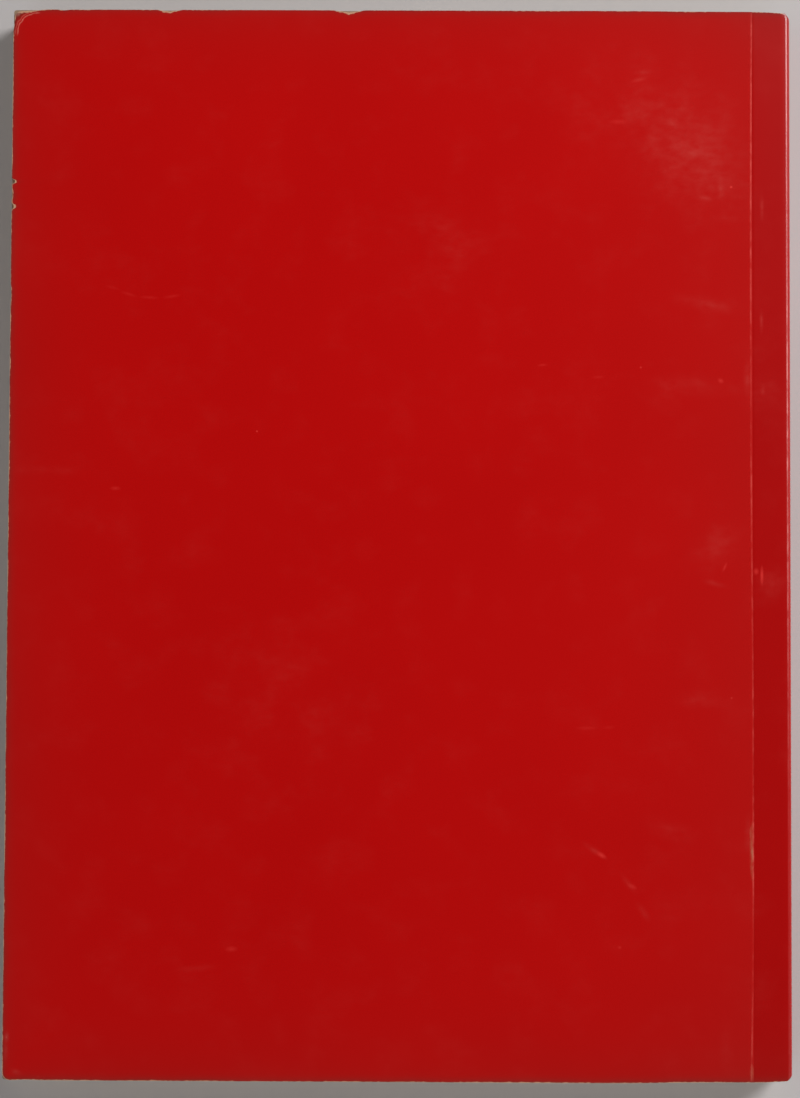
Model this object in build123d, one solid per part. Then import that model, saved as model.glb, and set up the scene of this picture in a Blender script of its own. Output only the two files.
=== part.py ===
from build123d import *
import os

# A perfect-bound paperback, lying closed on its front cover.
# The spine faces +X, the head of the pages faces +Y and the back cover is uppermost.
# The origin is the centre of the underside. All sizes are in millimetres.

# Trimmed book
book_width = 190.0  # fore-edge to the outside of the spine
book_height = 260.0  # tail to head
page_stack = 11.3  # thickness of the pages, away from the spine

# Cover: one sheet of card, scored and folded into two panels and a spine
card_thickness = 0.35
hinge_width = 9.4  # outside of the spine to the scored crease
score_width = 0.5
score_depth = 0.15
fold_radius = 1.2  # outside of the folds along the spine
spine_nip = 0.5  # how far each side is pressed in at the spine

# Hot-melt glue between the pages and the cover
spine_glue = 0.65  # film on the spine of the pages
side_glue = 0.15  # film pressed into the first and the last page
side_glue_share = 0.8  # share of the hinge width that the side film covers

# Spine of the pages, milled square and notched so that the glue keys in
notch_depth = 0.8
notch_width = 0.9
notch_pitch = 6.5
notch_margin = 5.0  # least distance of a notch from the head or the tail

# Corners rounded by handling
page_corner_radius = 0.6
front_corner_radius = 1.0
back_head_corner_radius = 1.8
back_tail_corner_radius = 1.9

# Nicks in the edges of the back cover: distance from the head or fore-edge, depth, length
fore_edge_nick_upper = (42.4, 0.9, 1.2)
fore_edge_nick_lower = (48.6, 0.6, 1.4)
head_nick_near = (38.2, 0.45, 3.4)
head_nick_far = (82.0, 0.55, 2.9)

cut_overrun = 1.0  # how far a cutting tool stands clear of what it cuts

# Places that follow from the sizes. Heights are counted from the middle of the book.
fore_edge = -book_width / 2
spine_outside = book_width / 2
spine_inside = spine_outside - card_thickness
block_spine = spine_inside - spine_glue
score_line = spine_outside - hinge_width
side_glue_edge = spine_outside - hinge_width * side_glue_share
page_face = page_stack / 2
glued_page_face = page_face - side_glue
cover_outside = page_face + card_thickness
fold_inside_radius = fold_radius - card_thickness
nip_slope = spine_nip / hinge_width


def nipped_slab(stations, corner_radius):
    """Slab of the whole height of the book, from places and heights on its upper side.

    Both sides slope in from the score to the spine, and the last corners are rounded.
    """
    upper = [(x, z - nip_slope * max(0, x - score_line)) for x, z in stations]
    lower = [(x, -z) for x, z in reversed(upper)]
    section = make_face(Polyline(*upper, *lower, close=True))
    section = fillet(section.vertices().group_by(Axis.X)[-1], corner_radius)
    return extrude(Plane.XZ * section, amount=book_height / 2, both=True)


def milled_notches():
    """Row of slots across the spine of the pages, evenly spread about the middle of its height."""
    count = 1 + int((book_height - 2 * notch_margin - notch_width) / notch_pitch)
    slot = Box(2 * notch_depth, notch_width, page_stack + cut_overrun)
    return [Pos(X=block_spine) * place * slot for place in GridLocations(0, notch_pitch, 1, count)]


def make_text_block():
    """The stack of pages, trimmed flush on three sides, with its spine milled and notched."""
    outer_page = [(fore_edge, page_face), (score_line, page_face), (side_glue_edge, page_face)]
    glued_part = [(side_glue_edge, glued_page_face), (block_spine, glued_page_face)]
    block = nipped_slab(outer_page + glued_part, fold_inside_radius)
    block = fillet(block.edges().filter_by(Axis.Z).group_by(Axis.X)[0], page_corner_radius)
    return block - milled_notches()


def make_binding_glue(text_block):
    """Hot-melt film that lies on the spine, runs a little way onto both outer pages and fills the notches."""
    filled = nipped_slab([(side_glue_edge, page_face), (spine_inside, page_face)], fold_inside_radius)
    return filled - text_block


def score_groove():
    """V-shaped tool for the crease that is pressed into the back of the card along the hinge."""
    mouth = score_width / 2 * (score_depth + cut_overrun) / score_depth
    root = cover_outside - score_depth
    rim = cover_outside + cut_overrun
    corners = [(score_line, root), (score_line + mouth, rim), (score_line - mouth, rim)]
    section = make_face(Polyline(*corners, close=True))
    return extrude(Plane.XZ * section, amount=book_height / 2 + cut_overrun, both=True)


def make_cover_spine():
    """Middle of the cover: the spine with its two folds and the strips that are glued to the outer pages."""
    outside = nipped_slab([(score_line, cover_outside), (spine_outside, cover_outside)], fold_radius)
    inside = nipped_slab([(score_line, page_face), (spine_inside, page_face)], fold_inside_radius)
    groove = score_groove()
    return outside - inside - groove - mirror(groove, Plane.XY)


def make_panel(head_radius, tail_radius):
    """Panel of the cover from the score to the fore-edge, as it lies on top of the book."""
    low_middle = (Align.MIN, Align.CENTER, Align.MIN)
    sheet = Box(score_line - fore_edge, book_height, card_thickness, align=low_middle)
    panel = Pos(fore_edge, 0, page_face) * sheet
    fore_corners = panel.edges().filter_by(Axis.Z).group_by(Axis.X)[0]
    panel = fillet(fore_corners.sort_by(Axis.Y)[0], tail_radius)
    head_corners = panel.edges().filter_by(Axis.Z).group_by(Axis.Y)[-1]
    panel = fillet(head_corners.sort_by(Axis.X)[0], head_radius)
    return panel - score_groove()


def nick(depth, length):
    """Upright cutter whose round side bites that deep and that long into an edge on its axis +X."""
    radius = (depth**2 + (length / 2) ** 2) / (2 * depth)
    return Pos(X=depth - radius) * Cylinder(radius, 2 * (cover_outside + cut_overrun))


def make_back_cover():
    """Panel that lies on top, with the nicks that its fore-edge and head have taken."""
    panel = make_panel(back_head_corner_radius, back_tail_corner_radius)
    for from_head, depth, length in (fore_edge_nick_upper, fore_edge_nick_lower):
        panel -= Pos(fore_edge, book_height / 2 - from_head) * nick(depth, length)
    for from_fore_edge, depth, length in (head_nick_near, head_nick_far):
        panel -= Pos(fore_edge + from_fore_edge, book_height / 2) * Rot(Z=-90) * nick(depth, length)
    return panel


def make_front_cover():
    """Panel that the book lies on."""
    return mirror(make_panel(front_corner_radius, front_corner_radius), Plane.XY)


text_block = make_text_block()
pieces = {
    "text_block": text_block,
    "binding_glue": make_binding_glue(text_block),
    "cover_spine": make_cover_spine(),
    "front_cover": make_front_cover(),
    "back_cover": make_back_cover(),
}
os.makedirs("parts", exist_ok=True)
for name, piece in pieces.items():
    export_step(Pos(Z=cover_outside) * piece, f"parts/{name}.step")
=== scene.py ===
import math
import random

import bmesh
import bpy
import numpy as np
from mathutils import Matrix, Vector


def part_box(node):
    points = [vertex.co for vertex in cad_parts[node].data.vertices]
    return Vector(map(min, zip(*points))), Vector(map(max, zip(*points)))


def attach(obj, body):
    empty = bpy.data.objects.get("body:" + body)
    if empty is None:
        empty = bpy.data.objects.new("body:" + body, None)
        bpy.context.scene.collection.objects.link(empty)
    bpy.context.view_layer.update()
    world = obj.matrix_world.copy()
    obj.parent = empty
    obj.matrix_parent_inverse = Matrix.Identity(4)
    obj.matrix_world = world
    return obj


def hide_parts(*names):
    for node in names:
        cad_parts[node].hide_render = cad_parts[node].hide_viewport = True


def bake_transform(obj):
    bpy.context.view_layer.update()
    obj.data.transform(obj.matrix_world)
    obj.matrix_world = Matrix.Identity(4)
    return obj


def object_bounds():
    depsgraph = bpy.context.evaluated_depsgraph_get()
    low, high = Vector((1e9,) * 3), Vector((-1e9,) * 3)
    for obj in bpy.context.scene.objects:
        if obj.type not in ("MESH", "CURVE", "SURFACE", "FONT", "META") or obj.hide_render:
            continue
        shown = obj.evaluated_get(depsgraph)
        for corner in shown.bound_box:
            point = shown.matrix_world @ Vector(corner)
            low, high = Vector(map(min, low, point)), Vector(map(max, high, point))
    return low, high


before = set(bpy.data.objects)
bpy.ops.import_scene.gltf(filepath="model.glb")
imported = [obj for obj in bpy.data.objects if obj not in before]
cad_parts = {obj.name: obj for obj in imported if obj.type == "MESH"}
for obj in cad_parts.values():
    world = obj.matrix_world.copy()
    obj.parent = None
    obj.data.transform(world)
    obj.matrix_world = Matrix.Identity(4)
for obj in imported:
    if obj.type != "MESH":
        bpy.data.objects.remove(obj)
cad_low, cad_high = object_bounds()

# Pages
# A stack of uncoated book paper, milled and notched at the spine for the glue and trimmed by a
# guillotine on the other three sides. Each leaf stands a hair in or out, and age has browned the cuts.
MM = 0.001
TINY = 0.001 * MM
pages_low, pages_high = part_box("text_block")
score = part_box("back_cover")[1].x
glue_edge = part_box("binding_glue")[0].x
middle = (pages_low.z + pages_high.z) / 2
half_stack = (pages_high.z - pages_low.z) / 2
leaves_drawn = 56  # about half of the real number, so that single leaves still show in a render
leaf_pitch = 2 * half_stack / leaves_drawn
leaf_gap = 0.03 * MM
counting_slack = 0.05  # share of a leaf, so that its lower face is counted with it
page_corner = 0.6 * MM
page_corner_steps = 3
edge_cuts = 40
notch_depth = 0.8 * MM
notch_width = 0.9 * MM
notch_pitch = 6.5 * MM
notch_count = 39
spine_nip = 0.5 * MM  # how far each side is pressed in at the spine
side_glue = 0.15 * MM  # how much further the film of glue presses in the outer leaves
film_step = 0.3 * MM
leaf_stagger = 0.1 * MM
edge_wave = 0.05 * MM
fore_wave_step = 17 * MM  # along the edge, for each radian of its wave
end_wave_step = 23 * MM
fore_wave_leaves = 9  # through the stack, likewise
end_wave_leaves = 7
head_rub = 0.15 * MM  # how far the head and the tail are rubbed in at the score
tail_rub = 0.35 * MM
spine_rub = 0.35 * MM  # how much further they are rubbed in at the spine
rub_reach = 30 * MM
lying = 0.7  # a face whose normal is steeper than this is the face of a leaf and not its edge


def add_piece(name, add, low, high, **settings):
    """Adds a unit primitive, stretches it from one corner to the other and puts its place in its mesh."""
    bpy.ops.object.select_all(action="DESELECT")
    add(size=1, **settings)
    piece = bpy.context.object
    piece.name = name
    piece.location = (Vector(low) + Vector(high)) / 2
    piece.scale = [side or 1 for side in Vector(high) - Vector(low)]
    bpy.ops.object.transform_apply()
    return piece


def edit(piece):
    """Opens this piece alone in edit mode."""
    bpy.ops.object.select_all(action="DESELECT")
    piece.select_set(True)
    bpy.context.view_layer.objects.active = piece
    bpy.ops.object.mode_set(mode="EDIT")
    bpy.ops.mesh.select_mode(type="VERT")


def pick(piece, wanted):
    """Selects the vertices whose place passes the test, with the edges and faces between them."""
    bpy.ops.mesh.select_all(action="DESELECT")
    mesh = bmesh.from_edit_mesh(piece.data)
    for vertex in mesh.verts:
        if wanted(vertex.co):
            vertex.select_set(True)
    mesh.select_flush(True)
    bmesh.update_edit_mesh(piece.data)


def cut_across(places):
    """Cuts the whole open mesh through at these places along X."""
    for place in places:
        bpy.ops.mesh.select_all(action="SELECT")
        bpy.ops.mesh.bisect(plane_co=(place, 0, 0), plane_no=(1, 0, 0))


def finish_with(piece, kind, **settings):
    """Adds a modifier with these settings and applies it."""
    bpy.context.view_layer.objects.active = piece
    modifier = piece.modifiers.new(kind.lower(), kind)
    for name, value in settings.items():
        setattr(modifier, name, value)
    bpy.ops.object.modifier_apply(modifier=modifier.name)


def repeat(piece, count, step):
    """Repeats a piece in a row, each copy moved on by the same step."""
    finish_with(
        piece,
        "ARRAY",
        count=count,
        use_relative_offset=False,
        use_constant_offset=True,
        constant_offset_displace=step,
    )


def read_places(piece):
    """Places of all vertices, one row each."""
    flat = np.zeros(len(piece.data.vertices) * 3, np.float32)
    piece.data.vertices.foreach_get("co", flat)
    return flat.reshape(-1, 3).astype(float)


def write_places(piece, places):
    """Moves all vertices to these places."""
    piece.data.vertices.foreach_set("co", places.astype(np.float32).ravel())
    piece.data.update()


def rubbed_in(x, y):
    """How far the ends of the book are rubbed in near the spine, on which it has been stood and bumped."""
    before = np.clip((x - score) / rub_reach + 1, 0, 1)
    beyond = np.clip((x - score) / (cad_high.x - score), 0, 1)
    return np.where(y > 0, head_rub, tail_rub) * before * (2 - before) + spine_rub * beyond**2


leaf_top = Vector((pages_high.x, pages_high.y, pages_low.z))
pages = add_piece("pages", bpy.ops.mesh.primitive_plane_add, pages_low, leaf_top)
edit(pages)
pick(pages, lambda co: co.x < 0)
bpy.ops.mesh.bevel(offset=page_corner, segments=page_corner_steps, affect="VERTICES")
for on_edge in (
    lambda co: co.x < pages_low.x + TINY,
    lambda co: co.y > pages_high.y - TINY,
    lambda co: co.y < pages_low.y + TINY,
):
    pick(pages, on_edge)
    bpy.ops.mesh.subdivide(number_cuts=edge_cuts)
cut_across((score, glue_edge, glue_edge + film_step))
bpy.ops.mesh.select_all(action="SELECT")
bpy.ops.mesh.extrude_region_move(TRANSFORM_OT_translate={"value": (0, 0, leaf_pitch - leaf_gap)})
bpy.ops.mesh.select_all(action="SELECT")
bpy.ops.mesh.normals_make_consistent(inside=False)
bpy.ops.object.mode_set(mode="OBJECT")

first_notch = -(notch_count - 1) / 2 * notch_pitch
notch_low = (pages_high.x - notch_depth, first_notch - notch_width / 2, pages_low.z - leaf_pitch)
notch_high = (pages_high.x + notch_depth, first_notch + notch_width / 2, pages_low.z + 2 * leaf_pitch)
cutter = add_piece("notch_cutter", bpy.ops.mesh.primitive_cube_add, notch_low, notch_high)
repeat(cutter, notch_count, (0, notch_pitch, 0))
finish_with(pages, "BOOLEAN", operation="DIFFERENCE", solver="EXACT", object=cutter)
bpy.data.objects.remove(cutter)
repeat(pages, leaves_drawn, (0, 0, leaf_pitch))

# The guillotine leaves each leaf a little short, and the spine squeezes the stack towards its middle.
chance = random.Random(7)


def short_leaves():
    """How far each leaf falls short at one of the trimmed edges, mostly by very little."""
    return np.array([chance.random() ** 2 for _ in range(leaves_drawn)]) * leaf_stagger


x, y, z = read_places(pages).T
leaf = ((z - pages_low.z) / leaf_pitch + counting_slack).astype(int)
fore_short = short_leaves()
head_short = short_leaves()
tail_short = short_leaves()
at_fore = x < pages_low.x + page_corner + TINY
at_head = y > pages_high.y - page_corner - TINY
at_tail = y < pages_low.y + page_corner + TINY
fore_wave = edge_wave * (1 + np.sin(y / fore_wave_step + leaf / fore_wave_leaves)) / 2
end_wave = edge_wave * (1 + np.sin(x / end_wave_step + leaf / end_wave_leaves)) / 2
x = x + at_fore * (fore_short[leaf] + fore_wave)
worn = rubbed_in(x, y)
y = y - at_head * (head_short[leaf] + end_wave + worn) + at_tail * (tail_short[leaf] + end_wave + worn)
nip_slope = spine_nip / (cad_high.x - score)
pressed = nip_slope * np.clip(x - score, 0, None)
pressed = pressed + side_glue * np.clip((x - glue_edge) / film_step, 0, 1)
z = middle + (z - middle) * (1 - pressed / half_stack)
write_places(pages, np.stack([x, y, z], 1))

COLOUR_A = 6  # the two colour inputs of a Mix node, and its colour output
COLOUR_B = 7
MIXED = 2


def linear(hex_colour):
    """Scene-linear colour of an sRGB hex value."""
    parts = [int(hex_colour[i : i + 2], 16) / 255 for i in (0, 2, 4)]
    return [*(c / 12.92 if c <= 0.04045 else ((c + 0.055) / 1.055) ** 2.4 for c in parts), 1]


def add_node(tree, kind, inputs, **settings):
    """Adds a node, sets its options, then gives each input a value or another node's output."""
    node = tree.nodes.new(kind)
    for name, value in settings.items():
        setattr(node, name, value)
    for socket, value in inputs.items():
        if isinstance(value, bpy.types.NodeSocket):
            tree.links.new(value, node.inputs[socket])
        else:
            node.inputs[socket].default_value = value
    return node


def start_material(name, roughness, ior):
    """New material with its node tree and its shader, the same gloss all over."""
    material = bpy.data.materials.new(name)
    material.use_nodes = True
    shader = material.node_tree.nodes["Principled BSDF"]
    shader.inputs["Roughness"].default_value = roughness
    shader.inputs["IOR"].default_value = ior
    return material, material.node_tree, shader


def dress(piece, *materials):
    """Gives a piece these materials and no others."""
    piece.data.materials.clear()
    for material in materials:
        piece.data.materials.append(material)


def paper_edges():
    """Guillotined edges of book paper: dull, streaked leaf by leaf, and toned brown by air and dust."""
    streak_length = 180 * MM
    streak_leaves = 2
    streak_relief = 0.05 * MM
    blotch_size = 22 * MM
    material, tree, shader = start_material("guillotined_paper_edges", 0.9, 1.5)
    place = add_node(tree, "ShaderNodeTexCoord", {}).outputs["Object"]
    per_streak = (1 / streak_length, 1 / streak_length, 1 / (streak_leaves * leaf_pitch))
    streak_place = add_node(tree, "ShaderNodeVectorMath", {0: place, 1: per_streak}, operation="MULTIPLY")
    streak = add_node(
        tree,
        "ShaderNodeTexNoise",
        {"Vector": streak_place.outputs[0], "Scale": 1, "Detail": 3, "Roughness": 0.7},
    )
    pale = add_node(
        tree, "ShaderNodeMapRange", {"Value": streak.outputs["Fac"], "From Min": 0.25, "From Max": 0.75}
    )
    blotch = add_node(tree, "ShaderNodeTexNoise", {"Vector": place, "Scale": 1 / blotch_size, "Detail": 4})
    leaf_tone = add_node(
        tree,
        "ShaderNodeMix",
        {"Factor": pale.outputs[0], COLOUR_A: linear("A08062"), COLOUR_B: linear("FBF1E0")},
        data_type="RGBA",
    )
    toned = add_node(
        tree,
        "ShaderNodeMapRange",
        {"Value": blotch.outputs["Fac"], "From Min": 0.45, "From Max": 0.8, "To Max": 0.3},
    )
    colour = add_node(
        tree,
        "ShaderNodeMix",
        {"Factor": toned.outputs[0], COLOUR_A: leaf_tone.outputs[MIXED], COLOUR_B: linear("B2926C")},
        data_type="RGBA",
    )
    relief = add_node(
        tree, "ShaderNodeBump", {"Height": streak.outputs["Fac"], "Strength": 0.5, "Distance": streak_relief}
    )
    tree.links.new(colour.outputs[MIXED], shader.inputs["Base Color"])
    tree.links.new(relief.outputs[0], shader.inputs["Normal"])
    return material


def paper_face():
    """Face of an outer leaf: soft cream, a little fibrous, browner towards the three open margins."""
    cloud_size = 30 * MM
    fibre_size = 0.9 * MM  # coarser than the fibres of real paper, so that they show
    fibre_relief = 0.04 * MM
    material, tree, shader = start_material("aged_book_paper", 0.85, 1.5)
    place = add_node(tree, "ShaderNodeTexCoord", {}).outputs["Object"]
    to_edge = add_node(
        tree,
        "ShaderNodeVectorMath",
        {0: place, 1: (-1 / cad_high.x, 1 / cad_high.y, 0)},
        operation="MULTIPLY",
    )
    sides = add_node(tree, "ShaderNodeSeparateXYZ", {0: to_edge.outputs[0]})
    end = add_node(tree, "ShaderNodeMath", {0: sides.outputs[1]}, operation="ABSOLUTE")
    near = add_node(tree, "ShaderNodeMath", {0: sides.outputs[0], 1: end.outputs[0]}, operation="MAXIMUM")
    cloud = add_node(tree, "ShaderNodeTexNoise", {"Vector": place, "Scale": 1 / cloud_size, "Detail": 4})
    ragged = add_node(
        tree,
        "ShaderNodeMath",
        {0: cloud.outputs["Fac"], 1: 0.16, 2: near.outputs[0]},
        operation="MULTIPLY_ADD",
    )
    margin = add_node(
        tree,
        "ShaderNodeMapRange",
        {"Value": ragged.outputs[0], "From Min": 0.9, "From Max": 1.09, "To Max": 0.55},
        interpolation_type="SMOOTHSTEP",
    )
    fibre = add_node(tree, "ShaderNodeTexNoise", {"Vector": place, "Scale": 1 / fibre_size, "Detail": 3})
    sheet = add_node(
        tree,
        "ShaderNodeMix",
        {"Factor": fibre.outputs["Fac"], COLOUR_A: linear("DFD0B6"), COLOUR_B: linear("F0E5D1")},
        data_type="RGBA",
    )
    browned = add_node(
        tree,
        "ShaderNodeMix",
        {"Factor": margin.outputs[0], COLOUR_A: sheet.outputs[MIXED], COLOUR_B: linear("C2A27A")},
        data_type="RGBA",
    )
    rim = add_node(
        tree,
        "ShaderNodeMapRange",
        {"Value": near.outputs[0], "From Min": 0.98, "From Max": 0.994, "To Max": 0.8},
        interpolation_type="SMOOTHSTEP",
    )
    colour = add_node(
        tree,
        "ShaderNodeMix",
        {"Factor": rim.outputs[0], COLOUR_A: browned.outputs[MIXED], COLOUR_B: linear("7C5E46")},
        data_type="RGBA",
    )
    relief = add_node(
        tree, "ShaderNodeBump", {"Height": fibre.outputs["Fac"], "Strength": 0.25, "Distance": fibre_relief}
    )
    tree.links.new(colour.outputs[MIXED], shader.inputs["Base Color"])
    tree.links.new(relief.outputs[0], shader.inputs["Normal"])
    return material


dress(pages, paper_face(), paper_edges())
for face in pages.data.polygons:
    face.material_index = 0 if abs(face.normal.z) > lying else 1
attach(pages, "book_block")
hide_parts("text_block")


# Binding glue
# Hot-melt adhesive, rolled on molten: it fills the notches, covers the spine of the pages and runs a
# little way onto the outer leaves. It was trimmed with the pages, and shows as a seam at head and tail.
glue_shrink = 0.12 * MM  # how far the cooled glue draws back from the trimmed ends
corner_bump = 1.0 * MM  # how far the ends of the spine are bumped in
corner_reach = 1.8 * MM  # along the spine
corner_width = 1.4 * MM  # across it


def bumped_in(x, y):
    """How far the two ends of the spine are bumped in and rounded."""
    near_end = np.clip(1 - (cad_high.y - np.abs(y)) / corner_reach, 0, 1)
    near_spine = np.clip(1 - (cad_high.x - x) / corner_width, 0, 1)
    return corner_bump * near_end**2 * near_spine


def hot_melt():
    """Cooled hot-melt glue: waxy, cream to amber, with a soft gloss."""
    cloud_size = 4 * MM
    material, tree, shader = start_material("hot_melt_glue", 0.42, 1.49)
    place = add_node(tree, "ShaderNodeTexCoord", {}).outputs["Object"]
    cloud = add_node(tree, "ShaderNodeTexNoise", {"Vector": place, "Scale": 1 / cloud_size, "Detail": 3})
    colour = add_node(
        tree,
        "ShaderNodeMix",
        {"Factor": cloud.outputs["Fac"], COLOUR_A: linear("B8955A"), COLOUR_B: linear("DCC695")},
        data_type="RGBA",
    )
    tree.links.new(colour.outputs[MIXED], shader.inputs["Base Color"])
    return material


glue = bpy.data.objects.new("spine_glue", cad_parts["binding_glue"].data.copy())
bpy.context.scene.collection.objects.link(glue)
edit(glue)
bpy.ops.mesh.select_all(action="SELECT")
bpy.ops.mesh.remove_doubles(threshold=TINY)
bpy.ops.object.mode_set(mode="OBJECT")
x, y, z = read_places(glue).T
at_end = np.abs(y) > cad_high.y - TINY
worn_x = x - at_end * bumped_in(x, y)
worn_y = y - at_end * np.sign(y) * (rubbed_in(x, y) + glue_shrink)
write_places(glue, np.stack([worn_x, worn_y, z], 1))
dress(glue, hot_melt())
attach(glue, "book_block")
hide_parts("binding_glue")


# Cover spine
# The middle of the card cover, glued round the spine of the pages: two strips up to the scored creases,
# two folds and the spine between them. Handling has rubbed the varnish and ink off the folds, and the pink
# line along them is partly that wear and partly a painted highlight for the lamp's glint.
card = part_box("back_cover")[1].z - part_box("back_cover")[0].z
card_rounding = 0.05 * MM
sharp_angle = math.radians(60)
smooth_angle = math.radians(40)
fold_radius = 1.2 * MM
fold_steps = 10
score_width = 0.7 * MM
score_depth = 0.03 * MM
seam_width = 0.1 * MM  # edges this near to the score belong to the crease, where the sheet goes on
lengthwise_cuts = 240
strip_cuts = 6
crowd_ends = 0.85  # how strongly the rows of the spine crowd towards its two ends
worn_reach = 2 * MM  # how far from the ends the worn outline is felt
rim_reach = 0.65 * MM  # soil along the very edge
end_soil = 0.5
margin_reach = 10 * MM  # fainter soil of the margins
margin_soil = 0.14
pale_rim = 0.25 * MM  # width of the edge where the printed face is gone
pale_end = 0.55
corner_wear = 0.8
corner_wear_reach = 1.2 * MM  # along the spine
corner_wear_width = 1.6 * MM  # across it

# Print and wear of the card, in millimetres, as its material reads the places on it
mottle_size = 38
tooth_size = 0.6  # coarser than the tooth of real card, so that it shows
smear_length = 3
smear_width = 2
patch_size = 9
flake_width = 1
flake_length = 3
chip_size = 0.9
crack_start = 0.7  # how far inside the score the wandering of the crack begins
crack_core = 0.06  # half the width of the line at its full strength
crack_edge = 0.3  # and where it ends
fold_line = 0.85  # from the outside of the spine
fold_core = 0.05
fold_edge = 0.28
dull_from = 1.3  # the fold loses gloss between these two, from the outside of the spine
dull_to = 0.8
ear_soft = (-0.4, 0.6)  # where the quarter round the dog-ear begins
ear_ragged = 1.2
ear_core = 0.04
ear_edge = 0.22
EAR_ARCS = ((0.6, 0.8), (1.15, 0.55))  # how far beyond the fold, and how strong
EAR_SOIL = ((1.0, 1.7, 0.7, "7A2117"), (1.9, 2.9, 1, "A68B78"))  # from, to, how strong and its colour

# From the tail to the head: millimetres that the crack wanders, how strongly it is rubbed, and how strong
# the fold's pink line is, which is partly rubbed ink and partly a painted glint
HINGE_WANDER = (
    (0, 0.07), (0.06, 0.34), (0.17, 0.63), (0.34, 0.67), (0.45, 0.53), (0.56, 0.36), (0.73, 0.32), (1, 0.66),
)
HINGE_RUB = (
    (0, 0.95), (0.06, 0.55), (0.12, 0.25), (0.17, 0.5), (0.22, 0.95), (0.28, 0.35), (0.34, 0.6),
    (0.4, 0.45), (0.49, 0.5), (0.56, 0.85), (0.62, 0.3), (0.7, 0.6), (0.8, 0.9), (0.92, 0.85), (1, 0.5),
)
FOLD_RUB_AND_GLINT = (
    (0, 0.06), (0.2, 0.03), (0.36, 0.15), (0.5, 0.5), (0.64, 0.6), (0.8, 0.25), (0.92, 0.15), (1, 0.05),
)


def spots(tree, place, marks, falloff):
    """Sum of oval marks: distance from the spine and from the head, length, width, turn and strength."""
    endless = 1 / MM  # so tall that an oval takes no heed of height
    total = 0.0
    for from_spine, from_head, length, width, turn, strength in marks:
        centre = (cad_high.x / MM - from_spine, cad_high.y / MM - from_head, 0)
        oval_place = add_node(
            tree,
            "ShaderNodeMapping",
            {
                "Vector": place,
                "Location": centre,
                "Rotation": (0, 0, math.radians(turn)),
                "Scale": (length / 2, width / 2, endless),
            },
            vector_type="TEXTURE",
        )
        oval = add_node(tree, "ShaderNodeTexGradient", {0: oval_place.outputs[0]}, gradient_type=falloff)
        total = add_node(
            tree, "ShaderNodeMath", {0: oval.outputs["Fac"], 1: strength, 2: total}, operation="MULTIPLY_ADD"
        ).outputs[0]
    return total


def follow(tree, share, points):
    """Value that follows a curve, given point by point, along the height of the book, from the tail to the
    head.
    """
    node = add_node(tree, "ShaderNodeFloatCurve", {"Value": share})
    curve = node.mapping.curves[0]
    curve.points[0].location = points[0]
    curve.points[1].location = points[-1]
    for point in points[1:-1]:
        curve.points.new(*point)
    node.mapping.update()
    return node.outputs[0]


def rubbed_haze_and_sheen(tree, place, hazes_and_sheen):
    """Varnish rubbed dull: broad hazes broken into small smears, and faint patches all over. On the spine
    strip the broad oval at the head is a painted sheen instead.
    """
    per_smear = (1 / smear_length, 1 / smear_width, 1)
    smear_place = add_node(tree, "ShaderNodeVectorMath", {0: place, 1: per_smear}, operation="MULTIPLY")
    smear = add_node(tree, "ShaderNodeTexNoise", {"Vector": smear_place.outputs[0], "Scale": 1, "Detail": 6})
    smeared = add_node(
        tree,
        "ShaderNodeMapRange",
        {"Value": smear.outputs["Fac"], "From Min": 0.35, "From Max": 0.7, "To Min": 0.4, "To Max": 1.3},
    ).outputs[0]
    patch = add_node(tree, "ShaderNodeTexNoise", {"Vector": place, "Scale": 1 / patch_size, "Detail": 3})
    patched = add_node(
        tree,
        "ShaderNodeMapRange",
        {"Value": patch.outputs["Fac"], "From Min": 0.35, "From Max": 0.65, "To Min": 0.3, "To Max": 1.5},
    ).outputs[0]
    broken = add_node(tree, "ShaderNodeMath", {0: smeared, 1: patched}, operation="MULTIPLY")
    overall = add_node(
        tree,
        "ShaderNodeMapRange",
        {"Value": patch.outputs["Fac"], "From Min": 0.5, "From Max": 0.75, "To Max": 0.05},
    ).outputs[0]
    faint = add_node(tree, "ShaderNodeMath", {0: overall, 1: smeared}, operation="MULTIPLY")
    ovals = spots(tree, place, hazes_and_sheen, "QUADRATIC_SPHERE")
    return add_node(
        tree,
        "ShaderNodeMath",
        {0: ovals, 1: broken.outputs[0], 2: faint.outputs[0]},
        operation="MULTIPLY_ADD",
    ).outputs[0]


def wear_and_glint_line(tree, offset, core, edge, flaking, strength):
    """Line where the ink is cracked or rubbed through, broken into flakes; along the folds it also carries a
    painted highlight.
    """
    aside = add_node(tree, "ShaderNodeMath", {0: offset}, operation="ABSOLUTE").outputs[0]
    line = add_node(
        tree,
        "ShaderNodeMapRange",
        {"Value": aside, "From Min": core, "From Max": edge, "To Min": 1, "To Max": 0},
        interpolation_type="SMOOTHSTEP",
    ).outputs[0]
    broken = add_node(tree, "ShaderNodeMath", {0: line, 1: flaking}, operation="MULTIPLY").outputs[0]
    return add_node(tree, "ShaderNodeMath", {0: broken, 1: strength}, operation="MULTIPLY").outputs[0]


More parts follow.
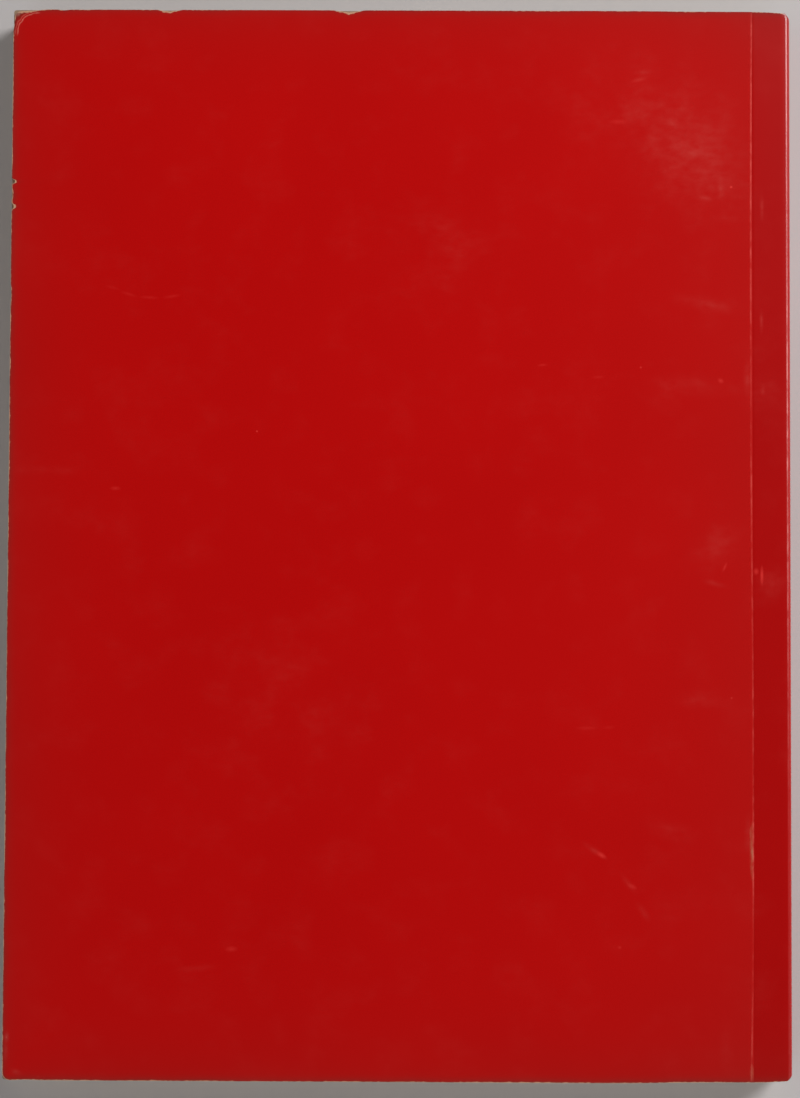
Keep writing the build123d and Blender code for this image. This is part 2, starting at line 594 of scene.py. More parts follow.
def bent_corner(tree, place, flake, dog_ear):
    """The dog-ear: two cracked arcs round a point inside it, and beyond them soiled, bare card."""
    from_spine, from_head, arc = dog_ear
    centre = (cad_high.x / MM - from_spine, cad_high.y / MM - from_head, 0)
    apart = add_node(tree, "ShaderNodeVectorMath", {0: place, 1: centre}, operation="SUBTRACT").outputs[0]
    inward, headward, _ = add_node(tree, "ShaderNodeSeparateXYZ", {0: apart}).outputs
    outward = add_node(tree, "ShaderNodeMath", {0: inward, 1: -1.0}, operation="MULTIPLY").outputs[0]
    nearest = add_node(tree, "ShaderNodeMath", {0: outward, 1: headward}, operation="MINIMUM").outputs[0]
    quarter = add_node(
        tree, "ShaderNodeMapRange", {"Value": nearest, "From Min": ear_soft[0], "From Max": ear_soft[1]}
    ).outputs[0]
    flat = add_node(tree, "ShaderNodeCombineXYZ", {0: outward, 1: headward}).outputs[0]
    even = add_node(tree, "ShaderNodeVectorMath", {0: flat}, operation="LENGTH").outputs["Value"]
    reach = add_node(
        tree, "ShaderNodeMath", {0: flake, 1: ear_ragged, 2: even}, operation="MULTIPLY_ADD"
    ).outputs[0]
    bands = []
    for beyond, strength in EAR_ARCS:
        offset = add_node(tree, "ShaderNodeMath", {0: reach, 1: arc + beyond}, operation="SUBTRACT")
        aside = add_node(tree, "ShaderNodeMath", {0: offset.outputs[0]}, operation="ABSOLUTE").outputs[0]
        line = {"Value": aside, "From Min": ear_core, "From Max": ear_edge, "To Min": strength, "To Max": 0}
        bands.append((line, "D8685A"))
    for near, far, strength, tint in EAR_SOIL:
        soil = {"Value": reach, "From Min": arc + near, "From Max": arc + far, "To Max": strength}
        bands.append((soil, tint))
    tint_layers = []
    for band, tint in bands:
        amount = add_node(tree, "ShaderNodeMapRange", band).outputs[0]
        amount = add_node(tree, "ShaderNodeMath", {0: amount, 1: quarter}, operation="MULTIPLY").outputs[0]
        tint_layers.append((amount, tint))
    return tint_layers


def red_card(name, hazes_and_sheen, scratches, dark, light, flakes=(), folded=False, dog_ear=None):
    """Printed and varnished cover card: deep glossy red, hazed where it was rubbed, bare where it broke, with
    a painted glint along the folds, a painted sheen on the strip and painted shade towards the score.
    """
    varnish = 0.21  # roughness of the varnish where it is whole
    tooth_relief = 0.05 * MM
    material, tree, shader = start_material(name, varnish, 1.46)
    stored = add_node(tree, "ShaderNodeAttribute", {}, attribute_name="card_place").outputs["Vector"]
    place = add_node(tree, "ShaderNodeVectorMath", {0: stored, "Scale": 1 / MM}, operation="SCALE").outputs[0]
    across, along, _ = add_node(tree, "ShaderNodeSeparateXYZ", {0: place}).outputs
    share = add_node(
        tree,
        "ShaderNodeMapRange",
        {"Value": along, "From Min": cad_low.y / MM, "From Max": cad_high.y / MM},
    ).outputs[0]

    # Print: slow mottling of the ink, and the tooth of the card under the varnish.
    mottle = add_node(tree, "ShaderNodeTexNoise", {"Vector": place, "Scale": 1 / mottle_size, "Detail": 4})
    tooth = add_node(tree, "ShaderNodeTexNoise", {"Vector": place, "Scale": 1 / tooth_size, "Detail": 3})
    colour = add_node(
        tree,
        "ShaderNodeMix",
        {"Factor": mottle.outputs["Fac"], COLOUR_A: linear(dark), COLOUR_B: linear(light)},
        data_type="RGBA",
    ).outputs[MIXED]

    # Rubbing: hazes, with a painted sheen on the spine strip, and single fine scratches.
    haze_and_sheen = rubbed_haze_and_sheen(tree, place, hazes_and_sheen)
    scratch = spots(tree, place, scratches, "SPHERICAL")

    # The crease: a thin line beside the score where the ink has cracked off, with flakes beside it.
    per_flake = (1 / flake_width, 1 / flake_length, 1)
    flake_place = add_node(tree, "ShaderNodeVectorMath", {0: place, 1: per_flake}, operation="MULTIPLY")
    flake = add_node(tree, "ShaderNodeTexNoise", {"Vector": flake_place.outputs[0], "Scale": 1, "Detail": 5})
    flaking = add_node(
        tree,
        "ShaderNodeMapRange",
        {"Value": flake.outputs["Fac"], "From Min": 0.38, "From Max": 0.62, "To Min": 0.25, "To Max": 1},
    ).outputs[0]
    wander = follow(tree, share, HINGE_WANDER)
    crease = add_node(tree, "ShaderNodeMath", {0: wander, 1: score / MM - crack_start}, operation="ADD")
    offset = add_node(tree, "ShaderNodeMath", {0: across, 1: crease.outputs[0]}, operation="SUBTRACT")
    hinge_rub = follow(tree, share, HINGE_RUB)
    crack = wear_and_glint_line(tree, offset.outputs[0], crack_core, crack_edge, flaking, hinge_rub)
    flaked = add_node(
        tree,
        "ShaderNodeMath",
        {0: spots(tree, place, flakes, "SPHERICAL"), 1: flaking},
        operation="MULTIPLY",
    ).outputs[0]
    tint_layers = [(haze_and_sheen, "BE3A34"), (scratch, "EA403A"), (crack, "D2463F"), (flaked, "B4765A")]
    gloss_lost = 0.0

    if folded:
        # The folds of the spine: a broken pink line, partly where the ink is rubbed through and partly a
        # painted highlight standing for the lamp's glint along the fold.
        outside = cad_high.x / MM
        offset = add_node(tree, "ShaderNodeMath", {0: across, 1: outside - fold_line}, operation="SUBTRACT")
        fold_rub_and_glint = follow(tree, share, FOLD_RUB_AND_GLINT)
        fold = wear_and_glint_line(tree, offset.outputs[0], fold_core, fold_edge, flaking, fold_rub_and_glint)
        tint_layers.append((fold, "E28C86"))
        gloss_lost = add_node(
            tree,
            "ShaderNodeMapRange",
            {"Value": across, "From Min": outside - dull_from, "From Max": outside - dull_to, "To Max": 0.1},
        ).outputs[0]
    if dog_ear:
        tint_layers += bent_corner(tree, place, flake.outputs["Fac"], dog_ear)

    # Rim and nicks: handling has darkened the rim, and in the nicks the printed face has broken away. On the
    # panels the rim tint also carries painted shade that darkens them towards the score.
    rim = add_node(tree, "ShaderNodeAttribute", {}, attribute_name="rim_soil_and_hinge_shade").outputs["Fac"]
    torn = add_node(tree, "ShaderNodeAttribute", {}, attribute_name="bare_card").outputs["Fac"]
    chip = add_node(tree, "ShaderNodeTexNoise", {"Vector": place, "Scale": 1 / chip_size, "Detail": 4})
    ragged = add_node(
        tree, "ShaderNodeMath", {0: chip.outputs["Fac"], 1: 0.8, 2: torn}, operation="MULTIPLY_ADD"
    )
    bare = add_node(
        tree,
        "ShaderNodeMapRange",
        {"Value": ragged.outputs[0], "From Min": 0.75, "From Max": 0.95},
        interpolation_type="SMOOTHSTEP",
    ).outputs[0]
    # 642A24 tints the soiled rim, and on the panels also the painted shade towards the score
    tint_layers += [(rim, "642A24"), (bare, "BB8C6E")]
    for amount, tint in tint_layers:
        colour = add_node(
            tree,
            "ShaderNodeMix",
            {"Factor": amount, COLOUR_A: colour, COLOUR_B: linear(tint)},
            data_type="RGBA",
        ).outputs[MIXED]

    # Gloss: dulled a little by the hazes and the folds, and lost where the card is bare.
    dull = add_node(tree, "ShaderNodeMath", {0: haze_and_sheen, 1: 0.08, 2: varnish}, operation="MULTIPLY_ADD")
    dull = add_node(tree, "ShaderNodeMath", {0: bare, 1: 0.5, 2: dull.outputs[0]}, operation="MULTIPLY_ADD")
    dull = add_node(tree, "ShaderNodeMath", {0: dull.outputs[0], 1: gloss_lost}, operation="ADD")
    relief = add_node(
        tree, "ShaderNodeBump", {"Height": tooth.outputs["Fac"], "Strength": 0.06, "Distance": tooth_relief}
    )
    tree.links.new(colour, shader.inputs["Base Color"])
    tree.links.new(dull.outputs[0], shader.inputs["Roughness"])
    tree.links.new(relief.outputs[0], shader.inputs["Normal"])
    return material


def card_inside():
    """Uncoated back of the cover card: dull off-white, with a faint felt of fibres."""
    cloud_size = 45 * MM
    fibre_size = 0.8 * MM  # coarser than the fibres of real card, so that they show
    fibre_relief = 0.04 * MM
    material, tree, shader = start_material("uncoated_card_back", 0.85, 1.5)
    place = add_node(tree, "ShaderNodeAttribute", {}, attribute_name="card_place").outputs["Vector"]
    cloud = add_node(tree, "ShaderNodeTexNoise", {"Vector": place, "Scale": 1 / cloud_size, "Detail": 4})
    fibre = add_node(tree, "ShaderNodeTexNoise", {"Vector": place, "Scale": 1 / fibre_size, "Detail": 3})
    sheet = add_node(
        tree,
        "ShaderNodeMix",
        {"Factor": fibre.outputs["Fac"], COLOUR_A: linear("DACEBA"), COLOUR_B: linear("EDE4D6")},
        data_type="RGBA",
    )
    toned = add_node(
        tree,
        "ShaderNodeMapRange",
        {"Value": cloud.outputs["Fac"], "From Min": 0.4, "From Max": 0.8, "To Max": 0.25},
    )
    colour = add_node(
        tree,
        "ShaderNodeMix",
        {"Factor": toned.outputs[0], COLOUR_A: sheet.outputs[MIXED], COLOUR_B: linear("CDB696")},
        data_type="RGBA",
    )
    relief = add_node(
        tree, "ShaderNodeBump", {"Height": fibre.outputs["Fac"], "Strength": 0.3, "Distance": fibre_relief}
    )
    tree.links.new(colour.outputs[MIXED], shader.inputs["Base Color"])
    tree.links.new(relief.outputs[0], shader.inputs["Normal"])
    return material


def card_cut_edge():
    """Cut edge of the card: tan layers of fibre, soiled by handling."""
    layer_length = 3 * MM
    layer_height = 0.08 * MM
    material, tree, shader = start_material("cut_card_edge", 0.9, 1.5)
    place = add_node(tree, "ShaderNodeAttribute", {}, attribute_name="card_place").outputs["Vector"]
    per_layer = (1 / layer_length, 1 / layer_length, 1 / layer_height)
    layered = add_node(tree, "ShaderNodeVectorMath", {0: place, 1: per_layer}, operation="MULTIPLY")
    layers = add_node(tree, "ShaderNodeTexNoise", {"Vector": layered.outputs[0], "Scale": 1, "Detail": 2})
    colour = add_node(
        tree,
        "ShaderNodeMix",
        {"Factor": layers.outputs["Fac"], COLOUR_A: linear("9A6A54"), COLOUR_B: linear("D2AF92")},
        data_type="RGBA",
    )
    tree.links.new(colour.outputs[MIXED], shader.inputs["Base Color"])
    return material


def store(piece, name, kind, values):
    """Keeps a value for every vertex, so that a pattern stays on the card when the card bends."""
    layer = piece.data.attributes.new(name, kind, "POINT")
    layer.data.foreach_set("vector" if kind == "FLOAT_VECTOR" else "value", values.astype(np.float32).ravel())


def pick_edges(piece, wanted):
    """Selects the edges whose two ends pass the test."""
    bpy.ops.mesh.select_mode(type="EDGE")
    bpy.ops.mesh.select_all(action="DESELECT")
    mesh = bmesh.from_edit_mesh(piece.data)
    for edge in mesh.edges:
        if wanted(*(vertex.co for vertex in edge.verts)):
            edge.select_set(True)
    bmesh.update_edit_mesh(piece.data)


def lengthwise(one, other):
    """Whether an edge with these two ends runs along the height of the book."""
    return abs(one.y - other.y) > TINY


def make_card(piece):
    """Gives an outer face the thickness of the card, inwards, and rounds its edges but not the score."""
    finish_with(
        piece,
        "SOLIDIFY",
        thickness=card,
        offset=-1,
        use_even_offset=True,
        material_offset=1,
        material_offset_rim=2,
    )
    edit(piece)
    bpy.ops.mesh.select_mode(type="EDGE")
    bpy.ops.mesh.select_all(action="DESELECT")
    bpy.ops.mesh.edges_select_sharp(sharpness=sharp_angle)
    mesh = bmesh.from_edit_mesh(piece.data)
    for edge in mesh.edges:
        if all(abs(vertex.co.x - score) < seam_width for vertex in edge.verts):
            edge.select_set(False)
    bmesh.update_edit_mesh(piece.data)
    bpy.ops.mesh.bevel(offset=card_rounding, segments=2, affect="EDGES")
    bpy.ops.object.mode_set(mode="OBJECT")
    bpy.ops.object.shade_smooth_by_angle(angle=smooth_angle)


spine_low = (score, cad_low.y, cad_low.z)
spine = add_piece("cover_spine_card", bpy.ops.mesh.primitive_cube_add, spine_low, cad_high)
edit(spine)
for open_side in (
    lambda co: co.x < score + TINY,
    lambda co: co.y < cad_low.y + TINY,
    lambda co: co.y > cad_high.y - TINY,
):
    pick(spine, open_side)
    bpy.ops.mesh.delete(type="ONLY_FACE")
pick(spine, lambda co: co.x > cad_high.x - TINY)
nipped = 1 - 2 * spine_nip / (cad_high.z - cad_low.z)
bpy.ops.transform.resize(value=(1, 1, nipped), center_override=(0, 0, middle))
pick_edges(spine, lambda one, other: min(one.x, other.x) > cad_high.x - TINY and lengthwise(one, other))
bpy.ops.mesh.bevel(offset=fold_radius, segments=fold_steps, affect="EDGES")
pick_edges(spine, lengthwise)
bpy.ops.mesh.subdivide(number_cuts=lengthwise_cuts)
bpy.ops.mesh.select_mode(type="VERT")
strip = cad_high.x - fold_radius - score
cut_across([score + score_width / 4, score + score_width / 2, score + score_width])
cut_across([score + strip * (step + 1) / (strip_cuts + 1) for step in range(strip_cuts)])
bpy.ops.mesh.select_all(action="SELECT")
bpy.ops.mesh.normals_make_consistent(inside=False)
bpy.ops.object.mode_set(mode="OBJECT")

# The crease is pressed in along the score, and the ends of the spine are rubbed back and rounded.
x, y, z = read_places(spine).T
side = np.sign(z - middle)
at_score = np.clip(1 - (x - score) / (score_width / 2), 0, 1)
z = z - side * score_depth * at_score * (np.abs(z - middle) > half_stack)
along = (y - cad_low.y) / (cad_high.y - cad_low.y)
along = along - crowd_ends * np.sin(math.tau * along) / math.tau
y = cad_low.y + along * (cad_high.y - cad_low.y)
from_end = cad_high.y - np.abs(y)
worn_x = x - bumped_in(x, y)
worn_y = y - np.sign(y) * rubbed_in(x, y) * np.exp(-from_end / worn_reach)
write_places(spine, np.stack([worn_x, worn_y, z], 1))

# On the strip the first, broad oval at the head is a painted sheen standing for the lamp's glare there; the
# others are rubbed hazes.
STRIP_HAZES_AND_SHEEN = (
    (6, 8, 18, 26, 0, 0.06),
    (7, 48, 1.6, 9, 0, 0.3),
    (7.2, 76, 1.6, 8, 0, 0.4),
    (5, 92, 12, 12, 0, 0.16),
    (6.8, 93, 2, 4, 0, 0.3),
    (4.5, 140, 10, 12, 0, 0.2),
)
STRIP_SCRATCHES = (
    (7.2, 138, 1, 5.5, 0, 0.5),
    (8.6, 137, 1.6, 2, 0, 0.35),
)
dress(
    spine,
    red_card("varnished_red_card_spine", STRIP_HAZES_AND_SHEEN, STRIP_SCRATCHES, "9C0202", "A40403", folded=True),
    card_inside(),
    card_cut_edge(),
)
make_card(spine)

# The ends are soiled, and their rim is pale, most of all at the corners of the folds.
places = read_places(spine)
x, y, z = places.T
from_end = np.clip(cad_high.y - np.abs(y) - rubbed_in(x, y), 0, None)
soil = end_soil * np.exp(-from_end / rim_reach) + margin_soil * np.exp(-from_end / margin_reach)
at_fold = np.clip(np.abs(z - middle) / half_stack, 0, 1) ** 3
near_spine = np.clip((x - cad_high.x) / corner_wear_width + 1, 0, 1)
at_corner = np.exp(-from_end / corner_wear_reach) * near_spine * at_fold
bare = np.maximum(corner_wear * at_corner, pale_end * np.exp(-from_end / pale_rim))
store(spine, "card_place", "FLOAT_VECTOR", places)
store(spine, "rim_soil_and_hinge_shade", "FLOAT", soil)
store(spine, "bare_card", "FLOAT", bare)
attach(spine, "book_block")
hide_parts("cover_spine")


# Back cover
# The upper panel of the card cover, free from the score to the fore-edge. It has been carried about bare:
# its corners are rounded, its edges nicked and its varnish hazed, and the head corner is dog-eared.
columns = 84
rows = 480
crowd_across = 0.88  # how strongly the columns crowd towards the two long edges
crowd_along = 0.5
nick_reach = 2 * MM
back_rise = 0.2 * MM  # of the loose panel at its fore-edge
rise_half_waves = 2.2  # along the fore-edge
rise_start = 0.4  # radians of the wave at the tail
soil_least = 0.3  # along the rim, where it is not patchy
pale_least = 0.35
patchiness = 0.4
RIPPLE_ALONG = (2.9 * MM, 7.3 * MM)  # for each radian of a ripple, and of the drift in its pace
RIPPLE_ACROSS = (3.7 * MM, 9.1 * MM)
# painted shade: the panels' red is darkened towards the score, standing for light that falls off there
hinge_painted_shade = 0.13
hinge_shade_reach = 25 * MM
bare_depth = 0.4 * MM  # a nick this deep has lost its printed face
bare_reach = 0.5 * MM


def bite(along, nicks):
    """How far an edge lies in at each place along it: its nicks, each with a place, a depth and a length."""
    depth_here = np.zeros_like(along)
    for place, depth, length in nicks:
        arch = 1 - ((along - place * MM) / (length * MM / 2)) ** 2
        depth_here = np.maximum(depth_here, depth * MM * np.clip(arch, 0, None))
    return depth_here


def loosened(across, along):
    """Share of its rise that a loose panel has: it does not lie flat, but lifts towards the fore-edge."""
    wave = 0.6 + 0.4 * np.sin(rise_half_waves * along * math.pi + rise_start)
    return (1 - across) ** 1.5 * wave


def cover_panel(name, node, facing, radii, nicks, rise):
    """Panel of card from the score to the fore-edge, worn to its outline; facing is 1 up and -1 down."""
    low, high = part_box(node)
    outer = high.z if facing > 0 else low.z
    panel = add_piece(
        name,
        bpy.ops.mesh.primitive_grid_add,
        (low.x, low.y, outer),
        (high.x, high.y, outer),
        x_subdivisions=columns,
        y_subdivisions=rows,
    )
    if facing < 0:
        edit(panel)
        bpy.ops.mesh.select_all(action="SELECT")
        bpy.ops.mesh.flip_normals()
        bpy.ops.object.mode_set(mode="OBJECT")
    x, y, z = read_places(panel).T
    across = (x - low.x) / (high.x - low.x)
    along = (y - low.y) / (high.y - low.y)
    across = across - crowd_across * np.sin(math.tau * across) / math.tau
    along = along - crowd_along * np.sin(math.tau * along) / math.tau
    x = low.x + across * (high.x - low.x)
    y = low.y + along * (high.y - low.y)
    z = z + facing * rise * loosened(across, along)
    z = z - facing * score_depth * np.clip(1 - (high.x - x) / (score_width / 2), 0, 1)
    for end, radius in zip((1, -1), radii):
        foreward = (low.x + radius - x) / radius
        endward = (end * y - high.y + radius) / radius
        in_corner = (foreward > 0) & (endward > 0)
        square = np.maximum(foreward, endward)
        pull = np.where(in_corner, square / np.maximum(np.hypot(foreward, endward), TINY), 1)
        x = np.where(in_corner, low.x + radius - radius * foreward * pull, x)
        y = np.where(in_corner, end * (high.y - radius + radius * endward * pull), y)
    fore, head, tail = nicks
    x = x + bite(high.y - y, fore) * np.exp(-(x - low.x) / nick_reach)
    rub = rubbed_in(x, y)
    y = y - (rub + bite(x - low.x, head)) * np.exp(-(high.y - y) / nick_reach)
    y = y + (rub + bite(x - low.x, tail)) * np.exp(-(y - low.y) / nick_reach)
    write_places(panel, np.stack([x, y, z], 1))
    return panel


def ripple(along, step, drift):
    """Uneven wave along an edge, between -1 and 1."""
    return np.sin(along / step + 2 * np.sin(along / drift))


def note_wear(panel, node, radii, nicks):
    """Stores where the card lies, how soiled it is towards its rim, the painted shade that darkens it towards
    the score, and where its printed face is gone.
    """
    low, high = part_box(node)
    places = read_places(panel)
    x, y, _ = places.T
    rub = rubbed_in(x, y)
    fore = bite(high.y - y, nicks[0])
    head = bite(x - low.x, nicks[1])
    tail = bite(x - low.x, nicks[2])
    inside = np.minimum(x - low.x - fore, np.minimum(high.y - y - head - rub, y - low.y - tail - rub))
    for end, radius in zip((1, -1), radii):
        foreward = np.clip(low.x + radius - x, 0, None)
        endward = np.clip(end * y - high.y + radius, 0, None)
        in_corner = (foreward > 0) & (endward > 0)
        inside = np.where(in_corner, np.minimum(inside, radius - np.hypot(foreward, endward)), inside)
    inside = np.clip(inside, 0, None)
    patchy = patchiness * (0.5 + 0.25 * ripple(y, *RIPPLE_ALONG) + 0.25 * ripple(x, *RIPPLE_ACROSS))
    soil = (soil_least + patchy) * np.exp(-inside / rim_reach) + margin_soil * np.exp(-inside / margin_reach)
    # painted shade towards the score, added to the soil of the rim
    soil = soil + hinge_painted_shade * np.exp((x - high.x) / hinge_shade_reach)
    bare = (pale_least + patchy) * np.exp(-inside / pale_rim)
    for depth, from_edge in ((fore, x - low.x), (head, high.y - y - rub), (tail, y - low.y - rub)):
        beyond = np.clip(from_edge - depth, 0, None)
        bare = np.maximum(bare, np.clip(depth / bare_depth, 0, 1) * np.exp(-beyond / bare_reach))
    store(panel, "card_place", "FLOAT_VECTOR", places)
    store(panel, "rim_soil_and_hinge_shade", "FLOAT", soil)
    store(panel, "bare_card", "FLOAT", bare)


BACK_RADII = (1.8 * MM, 1.9 * MM)
BACK_NICKS = (
    ((0, 0.35, 11), (42.4, 0.9, 1.3), (45.6, 0.25, 3), (48.6, 0.6, 1.6), (70, 0.2, 5)),
    ((0, 0.5, 16), (13, 0.3, 2.2), (18.5, 0.3, 1.6), (38.2, 0.45, 3.6), (82, 0.6, 2.9)),
    ((6, 0.12, 6),),
)
BACK_HAZES = (
    (24, 34, 64, 44, -50, 0.2),
    (34, 27, 70, 44, -30, 0.13),
    (24, 35.5, 9, 6, -40, 0.2),
    (28.5, 28, 7, 5, -30, 0.35),
    (26.5, 24, 7, 4, 60, 0.3),
    (20.5, 46, 8, 2.4, 0, 0.3),
    (17, 44, 3, 10, 0, 0.25),
    (16, 51, 10, 3.5, -8, 0.25),
    (37, 17, 8, 2, 12, 0.18),
    (36.5, 15.2, 9, 2, 0, 0.15),
    (20, 72, 26, 6, -10, 0.18),
    (24, 92, 30, 8, -3, 0.26),
    (17, 130, 22, 16, 20, 0.16),
    (18.5, 140, 9, 2.4, -12, 0.35),
    (24, 168, 16, 7, 0, 0.18),
    (30, 199, 18, 9, -20, 0.15),
    (47.4, 204.6, 10, 2.6, -35, 0.25),
    (39.6, 212.3, 9, 2.4, -52, 0.27),
    (36, 219, 8, 3.2, -55, 0.25),
    (16, 251, 6, 16, 0, 0.2),
    (10.6, 201, 3, 14, 0, 0.3),
    (10.6, 90, 3, 13, 0, 0.3),
    (182, 113, 26, 4, 0, 0.14),
    (143, 233, 14, 3, 6, 0.16),
    (85, 60, 60, 40, 20, 0.07),
    (120, 170, 80, 60, -15, 0.05),
    (189, 249.7, 2, 4.4, 0, 0.8),
    (189.2, 253.2, 1.8, 6, 0, 0.8),
    (186.6, 258, 4.6, 2.4, -25, 1),
    (181.3, 259.2, 1.2, 1.6, 0, 0.7),
)
BACK_SCRATCHES = (
    (14.5, 43.3, 0.8, 0.8, 0, 0.8),
    (37, 17.1, 5, 1.2, 12, 0.1),
    (42, 27.3, 5.4, 1.4, 0, 0.16),
    (60.4, 87, 3, 0.8, 4, 0.16),
    (46.8, 89.9, 3.6, 1, 2, 0.1),
    (36.5, 87.5, 0.7, 0.7, 0, 0.5),
    (17.1, 90.7, 1.8, 1.4, -30, 0.34),
    (16.2, 136, 0.8, 3, -25, 0.3),
    (49.6, 175, 6, 1.1, 0, 0.11),
    (44.2, 174.8, 3.4, 1.1, 4, 0.08),
    (14.6, 167.6, 0.7, 0.7, 0, 0.4),
    (46, 205.5, 3.2, 1.4, -33, 0.45),
    (38.5, 213, 2.8, 1.4, -28, 0.22),
    (41.6, 227.6, 1.2, 1, 0, 0.2),
    (165.1, 68.4, 4.8, 1, -14, 0.07),
    (161.1, 70, 5, 1, -16, 0.1),
    (156.2, 70.8, 5.4, 1, -3, 0.12),
    (150.6, 70.5, 5.2, 1, 9, 0.12),
    (164, 117.4, 3, 1.2, 0, 0.2),
    (129.7, 103.4, 0.6, 0.6, 0, 0.7),
    (135, 228.4, 3.6, 1.6, 2, 0.2),
)
BACK_FLAKES = (
    (9.7, 204.5, 1.5, 15, 0, 0.7),
    (9.8, 200.2, 1.4, 4, 0, 0.5),
    (9.8, 257.5, 1.4, 5, 0, 0.45),
)
DOG_EAR = (183.7, 6.2, 5.4)  # its middle from the spine and from the head, and the radius of its fold
PANEL_REDS = ("AF0202", "B70504")
back = cover_panel("back_cover_card", "back_cover", 1, BACK_RADII, BACK_NICKS, back_rise)
back_red = red_card(
    "varnished_red_card_back", BACK_HAZES, BACK_SCRATCHES, *PANEL_REDS, flakes=BACK_FLAKES, dog_ear=DOG_EAR
)
dress(back, back_red, card_inside(), card_cut_edge())
make_card(back)
note_wear(back, "back_cover", BACK_RADII, BACK_NICKS)
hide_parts("back_cover")
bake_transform(back)


# Front cover
# The lower panel of the same sheet of card. It lies on the table, held flat by the pages, so its print has
# kept its gloss, and only its corners and cut edges are worn.
FRONT_RADII = (1 * MM, 1 * MM)
FRONT_NICKS = (((96, 0.25, 2.4), (171, 0.3, 1.6)), ((54, 0.3, 2.6),), ((120, 0.3, 2.8),))
FRONT_HAZES = ((40, 60, 70, 30, 20, 0.12), (110, 180, 90, 40, -25, 0.12), (12, 30, 8, 30, 0, 0.2))
FRONT_SCRATCHES = ((70, 120, 14, 0.5, 24, 0.25), (122, 75, 9, 0.5, -18, 0.25))
front = cover_panel("front_cover_card", "front_cover", -1, FRONT_RADII, FRONT_NICKS, 0)
front_red = red_card("varnished_red_card_front", FRONT_HAZES, FRONT_SCRATCHES, *PANEL_REDS)
dress(front, front_red, card_inside(), card_cut_edge())
make_card(front)
note_wear(front, "front_cover", FRONT_RADII, FRONT_NICKS)
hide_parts("front_cover")
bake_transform(front)


# Floor
# A plain pale grey table top, matt, with a barely visible unevenness. Away from the book it passes into
# the plain backdrop for the camera, so that no horizon shows behind the book.
BACKDROP = "D2CECC"
floor_size = 60
floor_drop = 0.02 * MM
floor_cloud = 90 * MM
fade_start = 0.25
fade_end = 0.75
floor_low = (-floor_size / 2, -floor_size / 2, -floor_drop)
floor_high = (floor_size / 2, floor_size / 2, -floor_drop)
floor = add_piece("floor", bpy.ops.mesh.primitive_plane_add, floor_low, floor_high)
floor_paint, tree, shader = start_material("pale_matt_table", 0.9, 1.4)
shader.inputs["Specular IOR Level"].default_value = 0
place = add_node(tree, "ShaderNodeTexCoord", {}).outputs["Object"]
cloud = add_node(tree, "ShaderNodeTexNoise", {"Vector": place, "Scale": 1 / floor_cloud, "Detail": 3})
colour = add_node(
    tree,
    "ShaderNodeMix",
    {"Factor": cloud.outputs["Fac"], COLOUR_A: linear("B4B0AF"), COLOUR_B: linear("BCB7B6")},
    data_type="RGBA",
)
tree.links.new(colour.outputs[MIXED], shader.inputs["Base Color"])
away = add_node(tree, "ShaderNodeVectorMath", {0: place}, operation="LENGTH").outputs["Value"]
fade = add_node(
    tree,
    "ShaderNodeMapRange",
    {"Value": away, "From Min": fade_start, "From Max": fade_end},
    interpolation_type="SMOOTHSTEP",
)
seen = add_node(tree, "ShaderNodeLightPath", {}).outputs["Is Camera Ray"]
faded = add_node(tree, "ShaderNodeMath", {0: fade.outputs[0], 1: seen}, operation="MULTIPLY")
backdrop = add_node(tree, "ShaderNodeEmission", {"Color": linear(BACKDROP)})
table_top = add_node(
    tree,
    "ShaderNodeMixShader",
    {0: faded.outputs[0], 1: shader.outputs[0], 2: backdrop.outputs[0]},
)
tree.links.new(table_top.outputs[0], tree.nodes["Material Output"].inputs["Surface"])
floor.data.materials.append(floor_paint)


# Light
# One large soft lamp above the spine and the head, and a room that is brighter towards its walls and the
# tail than overhead. The varnish mirrors a dimmer room, so that it shows little but its own red.
lamp_height = math.radians(37)
lamp_bearing = math.radians(36)  # from +X towards +Y
lamp_distance = 1.2
lamp_size = 0.5
lamp_power = 13.9
overhead = 0.85  # the room is as dim as overhead from this sine of the height up
wall_light = 1.62
overhead_light = 0.05
mirrored_wall = 0.09
tail_gain = 0.8  # how much brighter than its middle the room is at the tail, and dimmer at the head
lamp_from = Vector(
    (
        math.cos(lamp_height) * math.cos(lamp_bearing),
        math.cos(lamp_height) * math.sin(lamp_bearing),
        math.sin(lamp_height),
    )
)
bpy.ops.object.light_add(type="AREA", location=lamp_from * lamp_distance)
lamp = bpy.context.object
lamp.data.energy = lamp_power
lamp.data.shape = "DISK"
lamp.data.size = lamp_size
lamp.rotation_euler = lamp_from.to_track_quat("Z", "Y").to_euler()

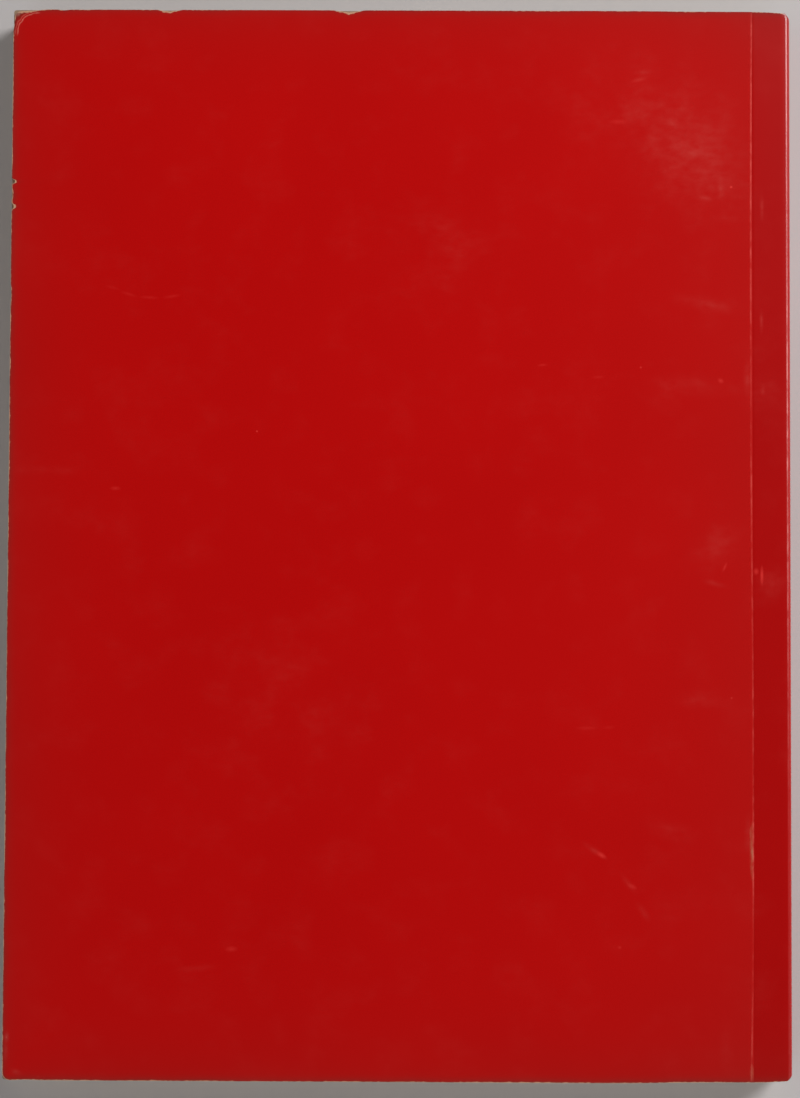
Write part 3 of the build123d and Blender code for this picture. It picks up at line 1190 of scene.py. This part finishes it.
world = bpy.data.worlds.new("room")
bpy.context.scene.world = world
world.use_nodes = True
tree = world.node_tree
sky = tree.nodes["Background"]
toward = add_node(tree, "ShaderNodeTexCoord", {}).outputs["Generated"]
_, to_head, upward = add_node(tree, "ShaderNodeSeparateXYZ", {0: toward}).outputs
rise = add_node(tree, "ShaderNodeMath", {0: upward}, operation="ABSOLUTE").outputs[0]
wall = add_node(
    tree,
    "ShaderNodeMapRange",
    {"Value": rise, "From Min": 0, "From Max": overhead, "To Min": wall_light, "To Max": overhead_light},
)
to_tail = add_node(tree, "ShaderNodeMath", {0: to_head, 1: -tail_gain, 2: 1.0}, operation="MULTIPLY_ADD")
room = add_node(tree, "ShaderNodeMath", {0: wall.outputs[0], 1: to_tail.outputs[0]}, operation="MULTIPLY")
mirrored_room = add_node(
    tree,
    "ShaderNodeMapRange",
    {"Value": rise, "From Min": 0, "From Max": overhead, "To Min": mirrored_wall, "To Max": overhead_light},
)
ray = add_node(tree, "ShaderNodeLightPath", {}).outputs
lit = add_node(
    tree,
    "ShaderNodeMix",
    {"Factor": ray["Is Glossy Ray"], COLOUR_A: room.outputs[0], COLOUR_B: mirrored_room.outputs[0]},
    data_type="RGBA",
)
shown = add_node(
    tree,
    "ShaderNodeMix",
    {"Factor": ray["Is Camera Ray"], COLOUR_A: lit.outputs[MIXED], COLOUR_B: linear(BACKDROP)},
    data_type="RGBA",
)
tree.links.new(shown.outputs[MIXED], sky.inputs["Color"])
bpy.context.scene.view_settings.view_transform = "Standard"


# Camera
# Held by hand almost straight above the middle of the book, a little towards the tail and tilted back.
# Its lens is worked out from a focal length in pixels of the picture.
picture_height = 1098
focal_pixels = 2188.5
sensor = 36
camera_place = (3.47 * MM, -22.4 * MM, 542 * MM)
camera_turn = (2.218, 0.348, 0.233)  # degrees, from looking straight down
camera_near = 0.01
bpy.ops.object.camera_add()
camera = bpy.context.object
camera.data.sensor_width = sensor
camera.data.lens = focal_pixels / picture_height * sensor
camera.data.clip_start = camera_near
camera.location = camera_place
camera.rotation_euler = [math.radians(angle) for angle in camera_turn]
bpy.context.scene.camera = camera
